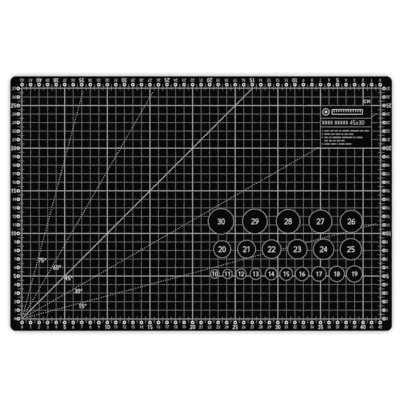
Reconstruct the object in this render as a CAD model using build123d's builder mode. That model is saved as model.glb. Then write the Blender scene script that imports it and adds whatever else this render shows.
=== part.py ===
"""Self healing cutting mat: five laminated sheets with a white ruler print on the top one.

Millimetres. The origin is the centre of the underside, +X runs along the long side,
+Y along the short side and +Z up. The print has a plane of its own, whose origin is the
zero corner of the centimetre grid, so every printed place below is read off the rulers.
"""

from build123d import *
from collections import namedtuple
from functools import lru_cache
from math import cos, radians, sin
import os

# ---------------------------------------------------------------- driving dimensions

MAT_LENGTH = 448.0
MAT_WIDTH = 299.0
CORNER_RADIUS = 6.5
SHEET_EDGE_EASE = 0.06      # small chamfer on each sheet, which leaves a fine line where two meet
MAT_EDGE_EASE = 0.2         # chamfer on the outermost edges of the board

# From the resting face up.
SHEETS = {
    "bottom_sheet": 0.6,
    "lower_healing_sheet": 0.5,
    "stiff_core_sheet": 0.4,
    "upper_healing_sheet": 0.6,
    "cutting_sheet": 0.9,
}
MAT_THICKNESS = sum(SHEETS.values())

INK = 0.06                  # thickness of every printed film

CENTIMETRE = 10.0
COLUMNS = 42
ROWS = 27
BOLD_EVERY = 5
GRID_LENGTH = COLUMNS * CENTIMETRE
GRID_WIDTH = ROWS * CENTIMETRE

FINE_LINE = 0.2
BOLD_LINE = 0.5
FRAME_LINE = 0.3
TICK_LINE = 0.18
DIAGONAL_LINE = 0.36
DASH_LINE = 0.46
OUTLINE = 0.3

PRINT_PLANE = Plane(origin=(-GRID_LENGTH / 2, -GRID_WIDTH / 2, MAT_THICKNESS))

# The frame runs round the outside of the grid. Ruler marks are measured outwards from the grid.
MILLIMETRE_TICK = 1.5
HALF_TICK_OUTSIDE = 5.0
HALF_TICK_INSIDE = 2.2
FINE_STEPS = (1, 2, 3, 4, 6, 7, 8, 9)   # tenths of a centimetre
HALF_STEP = (5,)
RING_DISTANCE = 4.5
RING_RADIUS = 1.8
RING_HOLE_RADIUS = 1.0
RING_ROWS = (-RING_DISTANCE, GRID_WIDTH + RING_DISTANCE)
RING_COLUMNS = (-RING_DISTANCE, GRID_LENGTH + RING_DISTANCE)

# A short stem joins each ring to the frame.
STEM_LENGTH = RING_DISTANCE - (RING_RADIUS + RING_HOLE_RADIUS) / 2 - FRAME_LINE
STEM_MIDDLE = FRAME_LINE + STEM_LENGTH / 2
STEM_ROWS = (-STEM_MIDDLE, GRID_WIDTH + STEM_MIDDLE)
STEM_COLUMNS = (-STEM_MIDDLE, GRID_LENGTH + STEM_MIDDLE)

# Ruler numbers. Every fifth one is larger and heavier, with one exception on each of two rulers.
SMALL_NUMBER = 3.1
SMALL_PEN = 0.27
LARGE_NUMBER = 4.5
LARGE_PEN = 0.55
TOP_EXCEPTION = 38          # a large one among the small
RIGHT_EXCEPTION = 15        # a small one among the large
NUMBER_DISTANCE = 9.7       # from the grid to the middle of the bottom and top numbers
NUMBER_START = 7.2          # from the grid to the near end of the left and right numbers

# Angle lines, from the zero corner.
DOTTED_ANGLES = (15, 30, 60, 75)
DASH = 0.8
DASH_PITCH = 2.8
FIRST_DASH = 6.5            # clear of the tick beside the zero corner
ANGLE_NUMBER = 4.9
ANGLE_PEN = 0.5
ANGLE_NUMBER_PLACES = {
    15: (71.3, 14.9),
    30: (66.6, 32.4),
    45: (55.2, 47.7),
    60: (41.5, 60.2),
    75: (24.0, 68.6),
}

# Template circles, from left to right, with the gaps between neighbours.
CircleRow = namedtuple("CircleRow", "sizes gaps left_edge height number pen")
LARGE_CIRCLES = CircleRow(range(30, 25, -1), (10.2, 10.5, 10.4, 9.7), 218.4, 114.1, 6.5, 0.5)
MEDIUM_CIRCLES = CircleRow(range(20, 26), (8.2, 7.8, 7.7, 7.3, 7.5), 224.7, 81.5, 6.5, 0.5)
SMALL_CIRCLES = CircleRow(
    range(10, 20), (4.4, 4.4, 4.5, 4.9, 3.0, 3.0, 3.3, 3.5, 2.2), 221.1, 52.5, 5.2, 0.48
)
CIRCLE_ROWS = (LARGE_CIRCLES, MEDIUM_CIRCLES, SMALL_CIRCLES)

# Information panel: three fields, one above the other.
PANEL_LEFT = 350.0
PANEL_RIGHT = 410.0
PANEL_BOTTOM = 200.0
PANEL_TOP = 250.0
PANEL_DIVIDERS = (225.0, 235.0)
PANEL_LINE = 0.22
PANEL_INSET = 2.4           # from the frame to what is printed inside it

# Top field: a rotary blade beside a short ruler.
EMBLEM_HEIGHT = 242.5
BLADE_RADIUS = 4.0
BLADE_HUB_RADIUS = 1.4
BLADE_HOLE_RADIUS = 0.6
EMBLEM_PEN = 0.46
RULER_LENGTH = 36.0
RULER_WIDTH = 6.0
RULER_GAP = 3.0             # from the blade to the ruler
RULER_TICKS = 12
RULER_TICK_PITCH = 2.8

# Middle field: two words of plain blocks, then the size of the mat in centimetres.
FIELD_HEIGHT = 230.0
NAME_WORDS = (4, 5)         # blocks in each word
NAME_BLOCK_LENGTH = 1.9
NAME_BLOCK_HEIGHT = 3.8
NAME_BLOCK_PITCH = 3.2
SIZE_MARK = "45x30"
SIZE_MARK_NUMBER = 4.9
SIZE_MARK_PEN = 0.34
SIZE_MARK_MIDDLE = 393.0

# Bottom field: lines of bars in place of writing, each word given by its number of letters.
NOTE_BAR_HEIGHT = 1.2
NOTE_LETTER = 1.3
NOTE_INDENT = 2.4           # from the bullet to the first word
NOTE_FIRST_LINE = 220.3
NOTE_LINE_PITCH = 3.85
NOTE_LINES = (
    (4, 3, 3, 2, 6, 8, 3, 4),
    (5, 3, 4, 2, 3, 4),
    (3, 2, 8, 9, 2, 5),
    (3, 3, 2, 3, 3),
    (5, 4, 1, 5, 5),
)
NOTE_LINES_WITHOUT_BULLET = (3,)

UNIT_MARK = "CM"
UNIT_MARK_NUMBER = 3.6
UNIT_MARK_PEN = 0.46
UNIT_MARK_CENTRE = (404.5, 255.0)

# ---------------------------------------------------------------- figures

# Each figure is drawn about the origin with a pen of the given width. Half its width is a and
# half its height is b, both to the middle of the stroke.
FIGURE_WIDTH = 0.58         # width of a figure as a share of its height
FIGURE_PITCH = 0.7          # from one figure to the next, as a share of the height
LETTER_PITCH = 1.1          # the same for the wide letters
UPPER_BOWL = 0.47           # share of the height that the upper bowl of 3 and 8 takes


def draw_zero(a, b, pen):
    """An upright oval."""
    Ellipse(a + pen / 2, b + pen / 2)
    Ellipse(a - pen / 2, b - pen / 2, mode=Mode.SUBTRACT)


def draw_one(a, b, pen):
    """A stem with a flag."""
    with BuildLine() as stroke:
        Polyline((-0.75 * a, 0.6 * b), (0.2 * a, b), (0.2 * a, -b - pen / 2))
    trace(stroke.line, line_width=pen)


def draw_two(a, b, pen):
    """An arch that runs into a slanting stroke and a flat foot."""
    with BuildLine() as stroke:
        arch = CenterArc((0, b - a), a, 165, -200)
        Polyline(arch @ 1, (-a, -b), (a + pen / 4, -b))
    trace(stroke.line, line_width=pen)


def draw_three(a, b, pen):
    """Two bowls, open to the left."""
    upper = b * UPPER_BOWL
    lower = b - upper
    trace(CenterArc((0, b - upper), upper, 150, -240), line_width=pen)
    trace(CenterArc((0, lower - b), lower, 90, -240), line_width=pen)
    trace(Line((-0.4 * a, 2 * lower - b), (0.1 * a, 2 * lower - b)), line_width=pen)


def draw_four(a, b, pen):
    """A slanting stroke with a crossbar, and a stem through it."""
    stem = 0.4 * a
    bar = -0.4 * b
    with BuildLine() as stroke:
        Polyline((stem, b), (-a, bar), (a + pen / 2, bar))
    trace(stroke.line, line_width=pen)
    with BuildLine() as stroke:
        Line((stem, b + pen / 2), (stem, -b - pen / 2))
    trace(stroke.line, line_width=pen)


def draw_five(a, b, pen):
    """A top bar, a short stem and a bowl."""
    radius = b * (1 - UPPER_BOWL)
    with BuildLine() as stroke:
        bowl = CenterArc((a - radius, radius - b), radius, 130, -265)
        Polyline(bowl @ 0, (-0.8 * a, b), (a, b))
    trace(stroke.line, line_width=pen)


def draw_six(a, b, pen):
    """A round bowl with a stroke that rises from its left."""
    radius = b * (1 - UPPER_BOWL)
    with Locations((0, radius - b)):
        Circle(radius + pen / 2)
    with BuildLine() as stroke:
        TangentArc((-radius, radius - b), (0.75 * a, b), tangent=(0, 1))
    trace(stroke.line, line_width=pen)
    with Locations((0, radius - b)):
        Circle(radius - pen / 2, mode=Mode.SUBTRACT)


def draw_seven(a, b, pen):
    """A top bar and a slanting stroke."""
    with BuildLine() as stroke:
        Polyline((-a - pen / 4, b), (a, b), (-0.4 * a, -b - pen / 2))
    trace(stroke.line, line_width=pen)


def draw_eight(a, b, pen):
    """Two rings, one on the other."""
    upper = b * UPPER_BOWL
    lower = b - upper
    bowls = ((upper, b - upper), (lower, lower - b))
    for radius, y in bowls:
        with Locations((0, y)):
            Circle(radius + pen / 2)
    for radius, y in bowls:
        with Locations((0, y)):
            Circle(radius - pen / 2, mode=Mode.SUBTRACT)


def draw_nine(a, b, pen):
    """A six turned round."""
    add(figure("6", 2 * b + pen, pen), rotation=180)


def draw_degree(a, b, pen):
    """A small ring at the top."""
    radius = 0.38 * b
    with Locations((-0.25 * a, b - radius)):
        Circle(radius)
        Circle(radius - 0.8 * pen, mode=Mode.SUBTRACT)


def draw_times(a, b, pen):
    """A small cross that stands on the foot of the line."""
    for side in (-1, 1):
        trace(Line((-0.8 * a * side, -b), (0.8 * a * side, 0.35 * b)), line_width=pen)


def draw_c(a, b, pen):
    """An open round."""
    with BuildLine() as stroke:
        CenterArc((0, 0), b, 48, 264)
    trace(stroke.line, line_width=pen)


def draw_m(a, b, pen):
    """Two stems and a V between them."""
    half = 1.6 * a
    with BuildLine() as stroke:
        Polyline((-half, b), (0, -0.4 * b), (half, b))
    trace(stroke.line, line_width=pen)
    with Locations((-half, 0), (half, 0)):
        Rectangle(pen, 2 * b + pen)


DRAWINGS = {
    "0": draw_zero,
    "1": draw_one,
    "2": draw_two,
    "3": draw_three,
    "4": draw_four,
    "5": draw_five,
    "6": draw_six,
    "7": draw_seven,
    "8": draw_eight,
    "9": draw_nine,
    "°": draw_degree,
    "x": draw_times,
    "C": draw_c,
    "M": draw_m,
}
WIDE_LETTERS = "CM"


@lru_cache(maxsize=None)
def figure(character, height, pen):
    """One figure, centred, drawn with a pen that keeps inside the given height."""
    half_width = (FIGURE_WIDTH * height - pen) / 2
    half_height = (height - pen) / 2
    with BuildSketch() as drawing:
        DRAWINGS[character](half_width, half_height, pen)
    return drawing.sketch


@lru_cache(maxsize=None)
def writing(text, height, pen):
    """A row of figures, centred on the origin."""
    pitch = height * (LETTER_PITCH if text[0] in WIDE_LETTERS else FIGURE_PITCH)
    with BuildSketch() as row:
        for place, character in enumerate(text):
            with Locations(((place - (len(text) - 1) / 2) * pitch, 0)):
                add(figure(character, height, pen))
    return row.sketch


# ---------------------------------------------------------------- printed outlines


def centimetre_places(last, bold=None):
    """Distances along a ruler: all centimetres, or only the bold or the fine ones between its ends."""
    if bold is None:
        return [n * CENTIMETRE for n in range(last + 1)]
    return [n * CENTIMETRE for n in range(1, last) if (n % BOLD_EVERY == 0) == bold]


def upright_lines(bold, width):
    """The fine or the bold upright lines, from one side of the frame to the other."""
    with Locations(*[(x, GRID_WIDTH / 2) for x in centimetre_places(COLUMNS, bold)]):
        Rectangle(width, GRID_WIDTH)


def level_lines(places, width):
    """Lines along the mat, from one end of the frame to the other."""
    with Locations(*[(GRID_LENGTH / 2, y) for y in places]):
        Rectangle(GRID_LENGTH, width)


def circle_places(row):
    """Each circle of a row, as its size and the place of its centre."""
    x = row.left_edge
    for size, gap in zip(row.sizes, (*row.gaps, 0)):
        yield size, (x + size / 2, row.height)
        x += size + gap


def clear_template_circles():
    """Leave every template circle free, up to the outside of its outline."""
    for row in CIRCLE_ROWS:
        for size, centre in circle_places(row):
            with Locations(centre):
                Circle((size + OUTLINE) / 2, mode=Mode.SUBTRACT)


def box_between(left, bottom, right, top, mode=Mode.ADD):
    """A filled rectangle, given by its sides."""
    with Locations(((left + right) / 2, (bottom + top) / 2)):
        Rectangle(right - left, top - bottom, mode=mode)


def clear_panel(left):
    """Leave the panel free from this left side on, above the bold line that it stands on."""
    bottom = PANEL_BOTTOM + BOLD_LINE / 2
    right = PANEL_RIGHT + PANEL_LINE / 2
    box_between(left, bottom, right, PANEL_TOP + PANEL_LINE / 2, mode=Mode.SUBTRACT)


def clear_panel_and_circles():
    """Leave the panel and the template circles free of the lines behind them."""
    clear_panel(PANEL_LEFT - PANEL_LINE / 2)
    clear_template_circles()


def diagonal_outline(mode):
    """The 45 degree line, from the zero corner to the top of the frame."""
    with BuildSketch() as line:
        with Locations((GRID_WIDTH / 2, GRID_WIDTH / 2)):
            Rectangle(2 * GRID_WIDTH, DIAGONAL_LINE, rotation=45)
            Rectangle(GRID_WIDTH, GRID_WIDTH, mode=Mode.INTERSECT)
    add(line.sketch, mode=mode)


def dash_places(angle):
    """Where the dashes of one dotted line lie, from the zero corner to the ticks inside the frame."""
    margin = HALF_TICK_INSIDE + DASH
    reach_across = (GRID_LENGTH - margin) / cos(radians(angle))
    reach_up = (GRID_WIDTH - margin) / sin(radians(angle))
    count = int((min(reach_across, reach_up) - FIRST_DASH) / DASH_PITCH) + 1
    for n in range(count):
        distance = FIRST_DASH + n * DASH_PITCH
        yield Location((distance * cos(radians(angle)), distance * sin(radians(angle))), angle)


@lru_cache(maxsize=None)
def dotted_outlines():
    """The dashes of every dotted line, as far as they show."""
    with BuildSketch() as dashes:
        for angle in DOTTED_ANGLES:
            with Locations(*dash_places(angle)):
                Rectangle(DASH, DASH_LINE)
        clear_panel_and_circles()
    return dashes.sketch


@lru_cache(maxsize=None)
def angle_writing():
    """The numbers beside the angle lines."""
    with BuildSketch() as numbers:
        for angle, place in ANGLE_NUMBER_PLACES.items():
            with Locations(place):
                add(writing(f"{angle}°", ANGLE_NUMBER, ANGLE_PEN))
    return numbers.sketch


@lru_cache(maxsize=None)
def bold_outlines():
    """The lines every five centimetres, cut where the panel, circles and angle lines lie."""
    with BuildSketch() as lines:
        upright_lines(True, BOLD_LINE)
        level_lines([y for y in centimetre_places(ROWS, True) if y != PANEL_TOP], BOLD_LINE)
        clear_panel(PANEL_LEFT - BOLD_LINE / 2)
        bottom, top = PANEL_TOP - BOLD_LINE / 2, PANEL_TOP + BOLD_LINE / 2
        box_between(0, bottom, PANEL_LEFT + BOLD_LINE / 2, top)
        box_between(PANEL_RIGHT + PANEL_LINE / 2, bottom, GRID_LENGTH, top)
        cut_for_angle_print()
        clear_template_circles()
    return lines.sketch


def cut_for_angle_print():
    """Leave room for the angle lines and their numbers, which are printed through the grid."""
    diagonal_outline(Mode.SUBTRACT)
    add(dotted_outlines(), mode=Mode.SUBTRACT)
    add(angle_writing(), mode=Mode.SUBTRACT)


def ruler_writing(value, exception):
    """A ruler's number, with its height. The exception has the size that isn't its own."""
    is_fifth = value > 0 and value % BOLD_EVERY == 0
    if is_fifth != (value == exception):
        return writing(str(value), LARGE_NUMBER, LARGE_PEN), LARGE_NUMBER
    return writing(str(value), SMALL_NUMBER, SMALL_PEN), SMALL_NUMBER


def across_numbers(y, turn, exception=None):
    """The numbers of the bottom or the top ruler. The top one is turned and runs the other way."""
    for value in range(COLUMNS + 1):
        x = GRID_LENGTH - value * CENTIMETRE if turn else value * CENTIMETRE
        sketch, _ = ruler_writing(value, exception)
        with Locations(Location((x, y), turn)):
            add(sketch)


def upright_numbers(start, side, turn, exception=None):
    """The numbers of the left or the right ruler, with their near ends in line."""
    for value in range(ROWS + 1):
        sketch, height = ruler_writing(value, exception)
        digits = len(str(value))
        half_length = ((digits - 1) * FIGURE_PITCH + FIGURE_WIDTH) * height / 2
        with Locations(Location((start + side * half_length, value * CENTIMETRE), turn)):
            add(sketch)


def between_marks(last, tenths):
    """Distances along a ruler that lie the given tenths of a centimetre past each centimetre."""
    return [(n + tenth / 10) * CENTIMETRE for n in range(last) for tenth in tenths]


def tick_rows(places, near, far, across):
    """Ticks that reach from near to far outside the grid, on two opposite rulers."""
    middle = (near + far) / 2
    if across:
        spots = [(x, y) for x in places for y in (-middle, GRID_WIDTH + middle)]
        size = (TICK_LINE, far - near)
    else:
        spots = [(x, y) for y in places for x in (-middle, GRID_LENGTH + middle)]
        size = (far - near, TICK_LINE)
    with Locations(*spots):
        Rectangle(*size)


def template_outlines(row):
    """The ring of each circle in a row. Its diameter, to the middle of the line, is its size."""
    for size, centre in circle_places(row):
        with Locations(centre):
            Circle((size + OUTLINE) / 2)
            Circle((size - OUTLINE) / 2, mode=Mode.SUBTRACT)


def note_line(letters, y, bullet):
    """One line of bars, a letter's width apart."""
    start = PANEL_LEFT + PANEL_INSET
    if bullet:
        with Locations((start, y)):
            Circle(NOTE_BAR_HEIGHT / 2)
    x = start + NOTE_INDENT
    for count in letters:
        length = count * NOTE_LETTER
        with Locations((x + length / 2, y)):
            SlotOverall(length, NOTE_BAR_HEIGHT)
        x += length + NOTE_LETTER


# ---------------------------------------------------------------- pieces

os.makedirs("parts", exist_ok=True)


def finish(piece, name):
    """Name a finished piece and write it."""
    piece.part.label = name
    export_step(piece.part, f"parts/{name}.step", write_pcurves=False)


level = 0.0
for sheet_name, sheet_thickness in SHEETS.items():
    with BuildPart() as sheet:
        with BuildSketch(Plane.XY.offset(level)):
            RectangleRounded(MAT_LENGTH, MAT_WIDTH, CORNER_RADIUS)
        extrude(amount=sheet_thickness)
        top_edges = sheet.faces().sort_by(Axis.Z)[-1].edges()
        chamfer(top_edges, MAT_EDGE_EASE if sheet_name == "cutting_sheet" else SHEET_EDGE_EASE)
        bottom_edges = sheet.faces().sort_by(Axis.Z)[0].edges()
        chamfer(bottom_edges, MAT_EDGE_EASE if sheet_name == "bottom_sheet" else SHEET_EDGE_EASE)
    finish(sheet, sheet_name)
    level += sheet_thickness

with BuildPart() as border_frame:
    with BuildSketch(PRINT_PLANE):
        with Locations((GRID_LENGTH / 2, GRID_WIDTH / 2)):
            Rectangle(GRID_LENGTH + 2 * FRAME_LINE, GRID_WIDTH + 2 * FRAME_LINE)
            Rectangle(GRID_LENGTH, GRID_WIDTH, mode=Mode.SUBTRACT)
    extrude(amount=INK)
finish(border_frame, "border_frame")

with BuildPart() as millimetre_ticks:
    with BuildSketch(PRINT_PLANE):
        tick_rows(between_marks(COLUMNS, FINE_STEPS), FRAME_LINE, MILLIMETRE_TICK, across=True)
        tick_rows(between_marks(ROWS, FINE_STEPS), FRAME_LINE, MILLIMETRE_TICK, across=False)
    extrude(amount=INK)
finish(millimetre_ticks, "millimetre_ticks")

with BuildPart() as half_centimetre_ticks:
    with BuildSketch(PRINT_PLANE):
        for near, far in ((FRAME_LINE, HALF_TICK_OUTSIDE), (-HALF_TICK_INSIDE, 0)):
            tick_rows(between_marks(COLUMNS, HALF_STEP), near, far, across=True)
            tick_rows(between_marks(ROWS, HALF_STEP), near, far, across=False)
    extrude(amount=INK)
finish(half_centimetre_ticks, "half_centimetre_ticks")

with BuildPart() as centimetre_rings:
    with BuildSketch(PRINT_PLANE):
        across_rings = [(x, y) for x in centimetre_places(COLUMNS) for y in RING_ROWS]
        upright_rings = [(x, y) for y in centimetre_places(ROWS) for x in RING_COLUMNS]
        across_stems = [(x, y) for x in centimetre_places(COLUMNS) for y in STEM_ROWS]
        upright_stems = [(x, y) for y in centimetre_places(ROWS) for x in STEM_COLUMNS]
        with Locations(*across_rings, *upright_rings):
            Circle(RING_RADIUS)
        with Locations(*across_stems):
            Rectangle(TICK_LINE, STEM_LENGTH)
        with Locations(*upright_stems):
            Rectangle(STEM_LENGTH, TICK_LINE)
        with Locations(*across_rings, *upright_rings):
            Circle(RING_HOLE_RADIUS, mode=Mode.SUBTRACT)
    extrude(amount=INK)
finish(centimetre_rings, "centimetre_rings")

with BuildPart() as bottom_ruler_numbers:
    with BuildSketch(PRINT_PLANE):
        across_numbers(-NUMBER_DISTANCE, turn=0)
    extrude(amount=INK)
finish(bottom_ruler_numbers, "bottom_ruler_numbers")

with BuildPart() as top_ruler_numbers:
    with BuildSketch(PRINT_PLANE):
        y = GRID_WIDTH + NUMBER_DISTANCE
        across_numbers(y, turn=180, exception=TOP_EXCEPTION)
    extrude(amount=INK)
finish(top_ruler_numbers, "top_ruler_numbers")

with BuildPart() as left_ruler_numbers:
    with BuildSketch(PRINT_PLANE):
        upright_numbers(-NUMBER_START, side=-1, turn=0)
    extrude(amount=INK)
finish(left_ruler_numbers, "left_ruler_numbers")

with BuildPart() as right_ruler_numbers:
    with BuildSketch(PRINT_PLANE):
        start = GRID_LENGTH + NUMBER_START
        upright_numbers(start, side=1, turn=180, exception=RIGHT_EXCEPTION)
    extrude(amount=INK)
finish(right_ruler_numbers, "right_ruler_numbers")

with BuildPart() as fine_grid:
    with BuildSketch(PRINT_PLANE):
        upright_lines(False, FINE_LINE)
        level_lines(centimetre_places(ROWS, False), FINE_LINE)
        add(bold_outlines(), mode=Mode.SUBTRACT)
        cut_for_angle_print()
        clear_panel_and_circles()
    extrude(amount=INK)
finish(fine_grid, "fine_grid")

with BuildPart() as bold_grid:
    with BuildSketch(PRINT_PLANE):
        add(bold_outlines())
    extrude(amount=INK)
finish(bold_grid, "bold_grid")

with BuildPart() as diagonal_line:
    with BuildSketch(PRINT_PLANE):
        diagonal_outline(Mode.ADD)
        add(angle_writing(), mode=Mode.SUBTRACT)
    extrude(amount=INK)
finish(diagonal_line, "diagonal_line")

with BuildPart() as dotted_angle_lines:
    with BuildSketch(PRINT_PLANE):
        add(dotted_outlines())
        diagonal_outline(Mode.SUBTRACT)
        add(angle_writing(), mode=Mode.SUBTRACT)
    extrude(amount=INK)
finish(dotted_angle_lines, "dotted_angle_lines")

with BuildPart() as angle_numbers:
    with BuildSketch(PRINT_PLANE):
        add(angle_writing())
    extrude(amount=INK)
finish(angle_numbers, "angle_numbers")

with BuildPart() as large_circle_outlines:
    with BuildSketch(PRINT_PLANE):
        template_outlines(LARGE_CIRCLES)
    extrude(amount=INK)
finish(large_circle_outlines, "large_circle_outlines")

with BuildPart() as medium_circle_outlines:
    with BuildSketch(PRINT_PLANE):
        template_outlines(MEDIUM_CIRCLES)
    extrude(amount=INK)
finish(medium_circle_outlines, "medium_circle_outlines")

with BuildPart() as small_circle_outlines:
    with BuildSketch(PRINT_PLANE):
        template_outlines(SMALL_CIRCLES)
    extrude(amount=INK)
finish(small_circle_outlines, "small_circle_outlines")

with BuildPart() as circle_numbers:
    with BuildSketch(PRINT_PLANE):
        for circle_row in CIRCLE_ROWS:
            for circle_size, circle_centre in circle_places(circle_row):
                with Locations(circle_centre):
                    add(writing(str(circle_size), circle_row.number, circle_row.pen))
    extrude(amount=INK)
finish(circle_numbers, "circle_numbers")

with BuildPart() as panel_frame:
    with BuildSketch(PRINT_PLANE):
        low, high = PANEL_BOTTOM + BOLD_LINE / 2, PANEL_TOP - BOLD_LINE / 2
        half_line = PANEL_LINE / 2
        box_between(PANEL_LEFT - half_line, low, PANEL_LEFT + half_line, high)
        box_between(PANEL_RIGHT - half_line, low, PANEL_RIGHT + half_line, PANEL_TOP + half_line)
        for divider in PANEL_DIVIDERS:
            box_between(PANEL_LEFT, divider - half_line, PANEL_RIGHT, divider + half_line)
        top_start = PANEL_LEFT + BOLD_LINE / 2
        box_between(top_start, PANEL_TOP - half_line, PANEL_RIGHT, PANEL_TOP + half_line)
    extrude(amount=INK)
finish(panel_frame, "panel_frame")

with BuildPart() as panel_emblem:
    with BuildSketch(PRINT_PLANE):
        blade_middle = PANEL_LEFT + PANEL_INSET + BLADE_RADIUS
        ruler_start = blade_middle + BLADE_RADIUS + RULER_GAP
        with Locations((blade_middle, EMBLEM_HEIGHT)):
            Circle(BLADE_RADIUS)
            Circle(BLADE_RADIUS - EMBLEM_PEN, mode=Mode.SUBTRACT)
            Circle(BLADE_HUB_RADIUS)
            Circle(BLADE_HOLE_RADIUS, mode=Mode.SUBTRACT)
        with Locations((ruler_start + RULER_LENGTH / 2, EMBLEM_HEIGHT)):
            Rectangle(RULER_LENGTH, RULER_WIDTH)
            Rectangle(RULER_LENGTH - 2 * EMBLEM_PEN, RULER_WIDTH - 2 * EMBLEM_PEN, mode=Mode.SUBTRACT)
            with GridLocations(RULER_TICK_PITCH, 0, RULER_TICKS, 1):
                with Locations((0, RULER_WIDTH / 4)):
                    Rectangle(EMBLEM_PEN, RULER_WIDTH / 2)
    extrude(amount=INK)
finish(panel_emblem, "panel_emblem")

with BuildPart() as panel_name_blocks:
    with BuildSketch(PRINT_PLANE):
        block_middle = PANEL_LEFT + PANEL_INSET + NAME_BLOCK_LENGTH / 2
        for block_count in NAME_WORDS:
            for _ in range(block_count):
                with Locations((block_middle, FIELD_HEIGHT)):
                    Rectangle(NAME_BLOCK_LENGTH, NAME_BLOCK_HEIGHT)
                block_middle += NAME_BLOCK_PITCH
            block_middle += NAME_BLOCK_LENGTH
    extrude(amount=INK)
finish(panel_name_blocks, "panel_name_blocks")

with BuildPart() as panel_size_mark:
    with BuildSketch(PRINT_PLANE):
        with Locations((SIZE_MARK_MIDDLE, FIELD_HEIGHT)):
            add(writing(SIZE_MARK, SIZE_MARK_NUMBER, SIZE_MARK_PEN))
    extrude(amount=INK)
finish(panel_size_mark, "panel_size_mark")

with BuildPart() as panel_note_bars:
    with BuildSketch(PRINT_PLANE):
        for line_number, line_letters in enumerate(NOTE_LINES):
            has_bullet = line_number not in NOTE_LINES_WITHOUT_BULLET
            note_line(line_letters, NOTE_FIRST_LINE - line_number * NOTE_LINE_PITCH, has_bullet)
    extrude(amount=INK)
finish(panel_note_bars, "panel_note_bars")

with BuildPart() as unit_mark:
    with BuildSketch(PRINT_PLANE):
        with Locations(UNIT_MARK_CENTRE):
            add(writing(UNIT_MARK, UNIT_MARK_NUMBER, UNIT_MARK_PEN))
    extrude(amount=INK)
finish(unit_mark, "unit_mark")
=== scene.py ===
"""Looks of the self healing cutting mat: its PVC sheets, its white print, light and camera.

Metres, in the same frame as the CAD model: +Z up, the mat resting on the floor at zero height.
"""

import math

import bmesh
import bpy
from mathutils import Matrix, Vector


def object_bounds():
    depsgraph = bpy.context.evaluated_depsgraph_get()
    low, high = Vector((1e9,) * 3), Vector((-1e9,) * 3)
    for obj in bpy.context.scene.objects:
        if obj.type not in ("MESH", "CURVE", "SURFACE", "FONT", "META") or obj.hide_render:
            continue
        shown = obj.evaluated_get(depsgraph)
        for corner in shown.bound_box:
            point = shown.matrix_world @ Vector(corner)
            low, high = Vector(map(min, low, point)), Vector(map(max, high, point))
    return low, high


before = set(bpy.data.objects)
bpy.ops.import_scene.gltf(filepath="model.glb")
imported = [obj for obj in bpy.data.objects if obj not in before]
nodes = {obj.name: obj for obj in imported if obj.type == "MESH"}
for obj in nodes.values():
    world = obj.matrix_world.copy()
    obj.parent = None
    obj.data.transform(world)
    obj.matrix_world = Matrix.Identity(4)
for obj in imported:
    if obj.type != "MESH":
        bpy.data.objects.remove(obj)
cad_low, cad_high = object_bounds()

MILLIMETRE = 0.001

# ---------------------------------------------------------------- driving values

# What the camera sees: a strip this wide at the height of the print, looking straight down.
VIEW_WIDTH = 469.1 * MILLIMETRE
VIEW_CENTRE = (-1.3 * MILLIMETRE, 4.2 * MILLIMETRE)
LENS = 85.0
SENSOR = 36.0
CAMERA_REACH = 100.0

FLOOR_RADIUS = 12.0
FLOOR_SEGMENTS = 96
FLOOR_GREY = 0.94
FLOOR_ROUGHNESS = 0.9
FLOOR_SPECULAR = 0.1

LIGHT_DISTANCE = 2.6
LIGHT_ELEVATION = math.radians(45)
LIGHT_SIZE = 1.6
LIGHT_POWER = 3.0
LIGHT_COUNT = 6

# The surround is bright up to about 40 degrees and dark overhead. Heights are sines of elevation.
SKY_LOW = 1.7
SKY_OVERHEAD = 0.05
SKY_FADE_START = 0.65
SKY_FADE_END = 0.85

# How much light each kind of PVC sends back.
CUTTING_FACE_GREY = 0.0006
BOTTOM_FACE_GREY = 0.003
HEALING_SHEET_GREY = 0.02
CORE_SHEET_GREY = 0.09

# How light each kind of print is. A hairline takes less ink than a solid patch.
HAIRLINE_INK = 0.41
LETTERING_INK = 0.26
LINE_INK = 0.59
SOLID_INK = 0.8

# How dull each surface is. A pressed face is duller between its pebbles.
CUTTING_FACE_ROUGHNESS = 0.34
BOTTOM_FACE_ROUGHNESS = 0.45
BETWEEN_PEBBLES_ROUGHNESS = 0.14
HEALING_SHEET_ROUGHNESS = 0.72
CORE_SHEET_ROUGHNESS = 0.45
INK_ROUGHNESS = 0.55
FACE_SPECULAR = 0.04
HEALING_SHEET_SPECULAR = 0.35
CORE_SHEET_SPECULAR = 0.5
INK_SPECULAR = 0.3

# Soft patches in each surface: their size, and the darkest and lightest share of its grey.
FACE_PATCHES = (40 * MILLIMETRE, 1.0, 1.6)
HEALING_SHEET_PATCHES = (3 * MILLIMETRE, 0.8, 1.2)
CORE_SHEET_PATCHES = (1.5 * MILLIMETRE, 0.85, 1.15)
INK_PATCHES = (1.6 * MILLIMETRE, 0.88, 1.04)

# Relief of each surface: the size of its features, their depth, and how strongly they show.
PEBBLE = 0.65 * MILLIMETRE
PEBBLE_EDGE = 0.6               # where a pebble ends, on the scale of the cells
PEBBLE_DEPTH = 0.04 * MILLIMETRE
FINE_GRAIN = (0.2 * MILLIMETRE, 0.008 * MILLIMETRE, 0.6)
DIE_DRAG = (0.25 * MILLIMETRE, 0.02 * MILLIMETRE, 0.6)
SAW_MARKS = (0.15 * MILLIMETRE, 0.01 * MILLIMETRE, 0.5)
PEBBLE_DEPTH_IN_INK = 0.02 * MILLIMETRE
PEBBLE_STRENGTH_IN_INK = 0.4

# ---------------------------------------------------------------- node helpers


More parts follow.
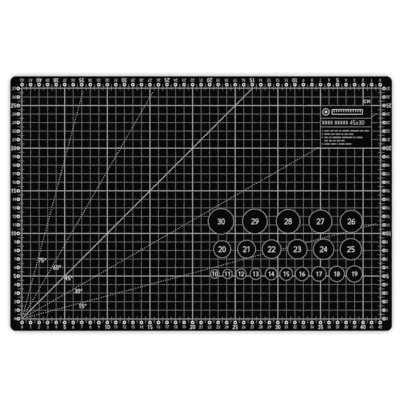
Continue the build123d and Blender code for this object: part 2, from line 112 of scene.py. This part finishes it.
class Shader:
    """A material under construction, with short calls for the nodes it needs."""

    def __init__(self, name):
        self.material = bpy.data.materials.new(name)
        self.material.use_nodes = True
        self.tree = self.material.node_tree
        self.surface = self.tree.nodes["Principled BSDF"].inputs
        self.place = self.add("ShaderNodeTexCoord").outputs["Object"]

    def add(self, kind, **attributes):
        """A new node with the given attributes."""
        node = self.tree.nodes.new(kind)
        for name, value in attributes.items():
            setattr(node, name, value)
        return node

    def link(self, source, target):
        self.tree.links.new(source, target)

    def set(self, **inputs):
        """Fixed values of the surface, by input name with _ for a space."""
        for name, value in inputs.items():
            self.surface[name.replace("_", " ")].default_value = value

    def noise(self, size, detail=2.0, roughness=0.5):
        """Soft noise whose features are about this size, in metres."""
        node = self.add("ShaderNodeTexNoise")
        node.inputs["Scale"].default_value = 1 / size
        node.inputs["Detail"].default_value = detail
        node.inputs["Roughness"].default_value = roughness
        self.link(self.place, node.inputs["Vector"])
        return node.outputs["Fac"]

    def cells(self, size):
        """Rounded cells of about this size, in metres: 0 at each middle."""
        node = self.add("ShaderNodeTexVoronoi", feature="SMOOTH_F1")
        node.inputs["Scale"].default_value = 1 / size
        self.link(self.place, node.inputs["Vector"])
        return node.outputs["Distance"]

    def spread(self, value, low, high, start=0.3, end=0.7):
        """The value's range from start to end, stretched to run from low to high."""
        node = self.add("ShaderNodeMapRange")
        node.inputs["From Min"].default_value = start
        node.inputs["From Max"].default_value = end
        node.inputs["To Min"].default_value = low
        node.inputs["To Max"].default_value = high
        self.link(value, node.inputs["Value"])
        return node.outputs["Result"]

    def paint(self, level, patches, detail=2.0, roughness=0.5):
        """Colour the surface this level of grey, lighter and darker in soft patches."""
        size, darkest, lightest = patches
        node = self.add("ShaderNodeMix", data_type="RGBA")
        node.inputs["A"].default_value = grey(level * darkest)
        node.inputs["B"].default_value = grey(level * lightest)
        self.link(self.spread(self.noise(size, detail, roughness), 0, 1), node.inputs["Factor"])
        self.link(node.outputs["Result"], self.surface["Base Color"])

    def bump(self, height, depth, strength=1.0, under=None):
        """A relief of this depth in metres, laid over another if one is given."""
        node = self.add("ShaderNodeBump")
        node.inputs["Strength"].default_value = strength
        node.inputs["Distance"].default_value = depth
        self.link(height, node.inputs["Height"])
        if under is not None:
            self.link(under, node.inputs["Normal"])
        return node.outputs["Normal"]

    def rough(self, relief, detail=2.0):
        """A relief of noise, given by its size, depth and strength."""
        size, depth, strength = relief
        return self.bump(self.noise(size, detail), depth, strength)


def grey(level):
    """An opaque grey that sends back this share of the light."""
    return (level, level, level, 1)


# ---------------------------------------------------------------- materials


def embossed_pvc(name, level, roughness):
    """Black PVC with the fine pebbled grain of a pressed face."""
    shader = Shader(name)
    shader.paint(level, FACE_PATCHES, detail=3)
    grain = shader.cells(PEBBLE)
    between = roughness + BETWEEN_PEBBLES_ROUGHNESS
    dullness = shader.spread(grain, roughness, between, start=0.0, end=PEBBLE_EDGE)
    shader.link(dullness, shader.surface["Roughness"])
    shader.set(Specular_IOR_Level=FACE_SPECULAR)
    pebbles = shader.bump(grain, PEBBLE_DEPTH, under=shader.rough(FINE_GRAIN))
    shader.link(pebbles, shader.surface["Normal"])
    return shader.material


def soft_pvc(name, level):
    """The cut edge of a soft sheet: charcoal with a slight drag from the die."""
    shader = Shader(name)
    shader.paint(level, HEALING_SHEET_PATCHES)
    shader.set(Roughness=HEALING_SHEET_ROUGHNESS, Specular_IOR_Level=HEALING_SHEET_SPECULAR)
    shader.link(shader.rough(DIE_DRAG, detail=3), shader.surface["Normal"])
    return shader.material


def hard_core(name, level):
    """The stiff core: smoother and lighter, so it shows as a line along the edge."""
    shader = Shader(name)
    shader.paint(level, CORE_SHEET_PATCHES)
    shader.set(Roughness=CORE_SHEET_ROUGHNESS, Specular_IOR_Level=CORE_SHEET_SPECULAR)
    shader.link(shader.rough(SAW_MARKS, detail=3), shader.surface["Normal"])
    return shader.material


def printed_ink(name, level):
    """Matte white ink: slightly uneven in density, and it follows the grain under it."""
    shader = Shader(name)
    shader.paint(level, INK_PATCHES, detail=4, roughness=0.6)
    shader.set(Roughness=INK_ROUGHNESS, Specular_IOR_Level=INK_SPECULAR)
    grain = shader.cells(PEBBLE)
    pebbles = shader.bump(grain, PEBBLE_DEPTH_IN_INK, PEBBLE_STRENGTH_IN_INK)
    shader.link(pebbles, shader.surface["Normal"])
    return shader.material


def dress(material, *names):
    """Give every named CAD node this material."""
    for name in names:
        for material_slot in nodes[name].material_slots:
            material_slot.material = material


cutting_face = embossed_pvc("black_cutting_face", CUTTING_FACE_GREY, CUTTING_FACE_ROUGHNESS)
bottom_face = embossed_pvc("black_bottom_face", BOTTOM_FACE_GREY, BOTTOM_FACE_ROUGHNESS)
healing_layer = soft_pvc("charcoal_healing_layer", HEALING_SHEET_GREY)
dress(cutting_face, "cutting_sheet")
dress(bottom_face, "bottom_sheet")
dress(healing_layer, "upper_healing_sheet", "lower_healing_sheet")
dress(hard_core("grey_stiff_core", CORE_SHEET_GREY), "stiff_core_sheet")

dress(printed_ink("hairline_ink", HAIRLINE_INK), "fine_grid", "millimetre_ticks")
dress(printed_ink("lettering_ink", LETTERING_INK), "panel_name_blocks", "panel_note_bars")
dress(
    printed_ink("line_ink", LINE_INK),
    "border_frame",
    "half_centimetre_ticks",
    "bottom_ruler_numbers",
    "top_ruler_numbers",
    "left_ruler_numbers",
    "right_ruler_numbers",
    "bold_grid",
    "large_circle_outlines",
    "medium_circle_outlines",
    "small_circle_outlines",
    "panel_frame",
    "panel_size_mark",
)
dress(
    printed_ink("solid_ink", SOLID_INK),
    "centimetre_rings",
    "diagonal_line",
    "dotted_angle_lines",
    "angle_numbers",
    "circle_numbers",
    "panel_emblem",
    "unit_mark",
)

# ---------------------------------------------------------------- floor, light and camera


def make_floor():
    """A plain round floor under the mat."""
    mesh = bpy.data.meshes.new("floor")
    shape = bmesh.new()
    bmesh.ops.create_circle(shape, cap_ends=True, segments=FLOOR_SEGMENTS, radius=FLOOR_RADIUS)
    shape.to_mesh(mesh)
    shape.free()
    floor = bpy.data.objects.new("floor", mesh)
    bpy.context.collection.objects.link(floor)
    shader = Shader("floor_paint")
    shader.set(Base_Color=grey(FLOOR_GREY))
    shader.set(Roughness=FLOOR_ROUGHNESS, Specular_IOR_Level=FLOOR_SPECULAR)
    mesh.materials.append(shader.material)


def make_lights():
    """Soft boxes in a ring, low enough that the mat doesn't mirror them straight up."""
    reach = LIGHT_DISTANCE * math.cos(LIGHT_ELEVATION)
    height = LIGHT_DISTANCE * math.sin(LIGHT_ELEVATION)
    for number in range(LIGHT_COUNT):
        turn = 2 * math.pi * (number + 0.5) / LIGHT_COUNT
        light = bpy.data.lights.new(f"soft_box_{number}", "AREA")
        light.size = LIGHT_SIZE
        light.energy = LIGHT_POWER
        lamp = bpy.data.objects.new(light.name, light)
        lamp.location = (reach * math.cos(turn), reach * math.sin(turn), height)
        lamp.rotation_euler = (-Vector(lamp.location)).to_track_quat("-Z", "Y").to_euler()
        bpy.context.collection.objects.link(lamp)


def make_sky():
    """A white surround all round, dark overhead so that the black face stays black from above."""
    world = bpy.data.worlds.new("studio")
    bpy.context.scene.world = world
    world.use_nodes = True
    tree = world.node_tree
    direction = tree.nodes.new("ShaderNodeTexCoord")
    split = tree.nodes.new("ShaderNodeSeparateXYZ")
    fade = tree.nodes.new("ShaderNodeMapRange")
    fade.interpolation_type = "SMOOTHSTEP"
    fade.inputs["From Min"].default_value = SKY_FADE_START
    fade.inputs["From Max"].default_value = SKY_FADE_END
    fade.inputs["To Min"].default_value = SKY_LOW
    fade.inputs["To Max"].default_value = SKY_OVERHEAD
    tree.links.new(direction.outputs["Generated"], split.inputs["Vector"])
    tree.links.new(split.outputs["Z"], fade.inputs["Value"])
    tree.links.new(fade.outputs["Result"], tree.nodes["Background"].inputs["Strength"])
    tree.nodes["Background"].inputs["Color"].default_value = grey(1)


def make_camera():
    """Straight above the mat, with the top of its print towards the top of the picture."""
    camera = bpy.data.cameras.new("camera")
    camera.lens = LENS
    camera.sensor_width = SENSOR
    camera.clip_end = CAMERA_REACH
    holder = bpy.data.objects.new("camera", camera)
    height = cad_high[2] + VIEW_WIDTH * LENS / SENSOR
    holder.location = (*VIEW_CENTRE, height)
    bpy.context.collection.objects.link(holder)
    bpy.context.scene.camera = holder


make_camera()
make_floor()
make_lights()
make_sky()
bpy.context.scene.view_settings.view_transform = "Standard"
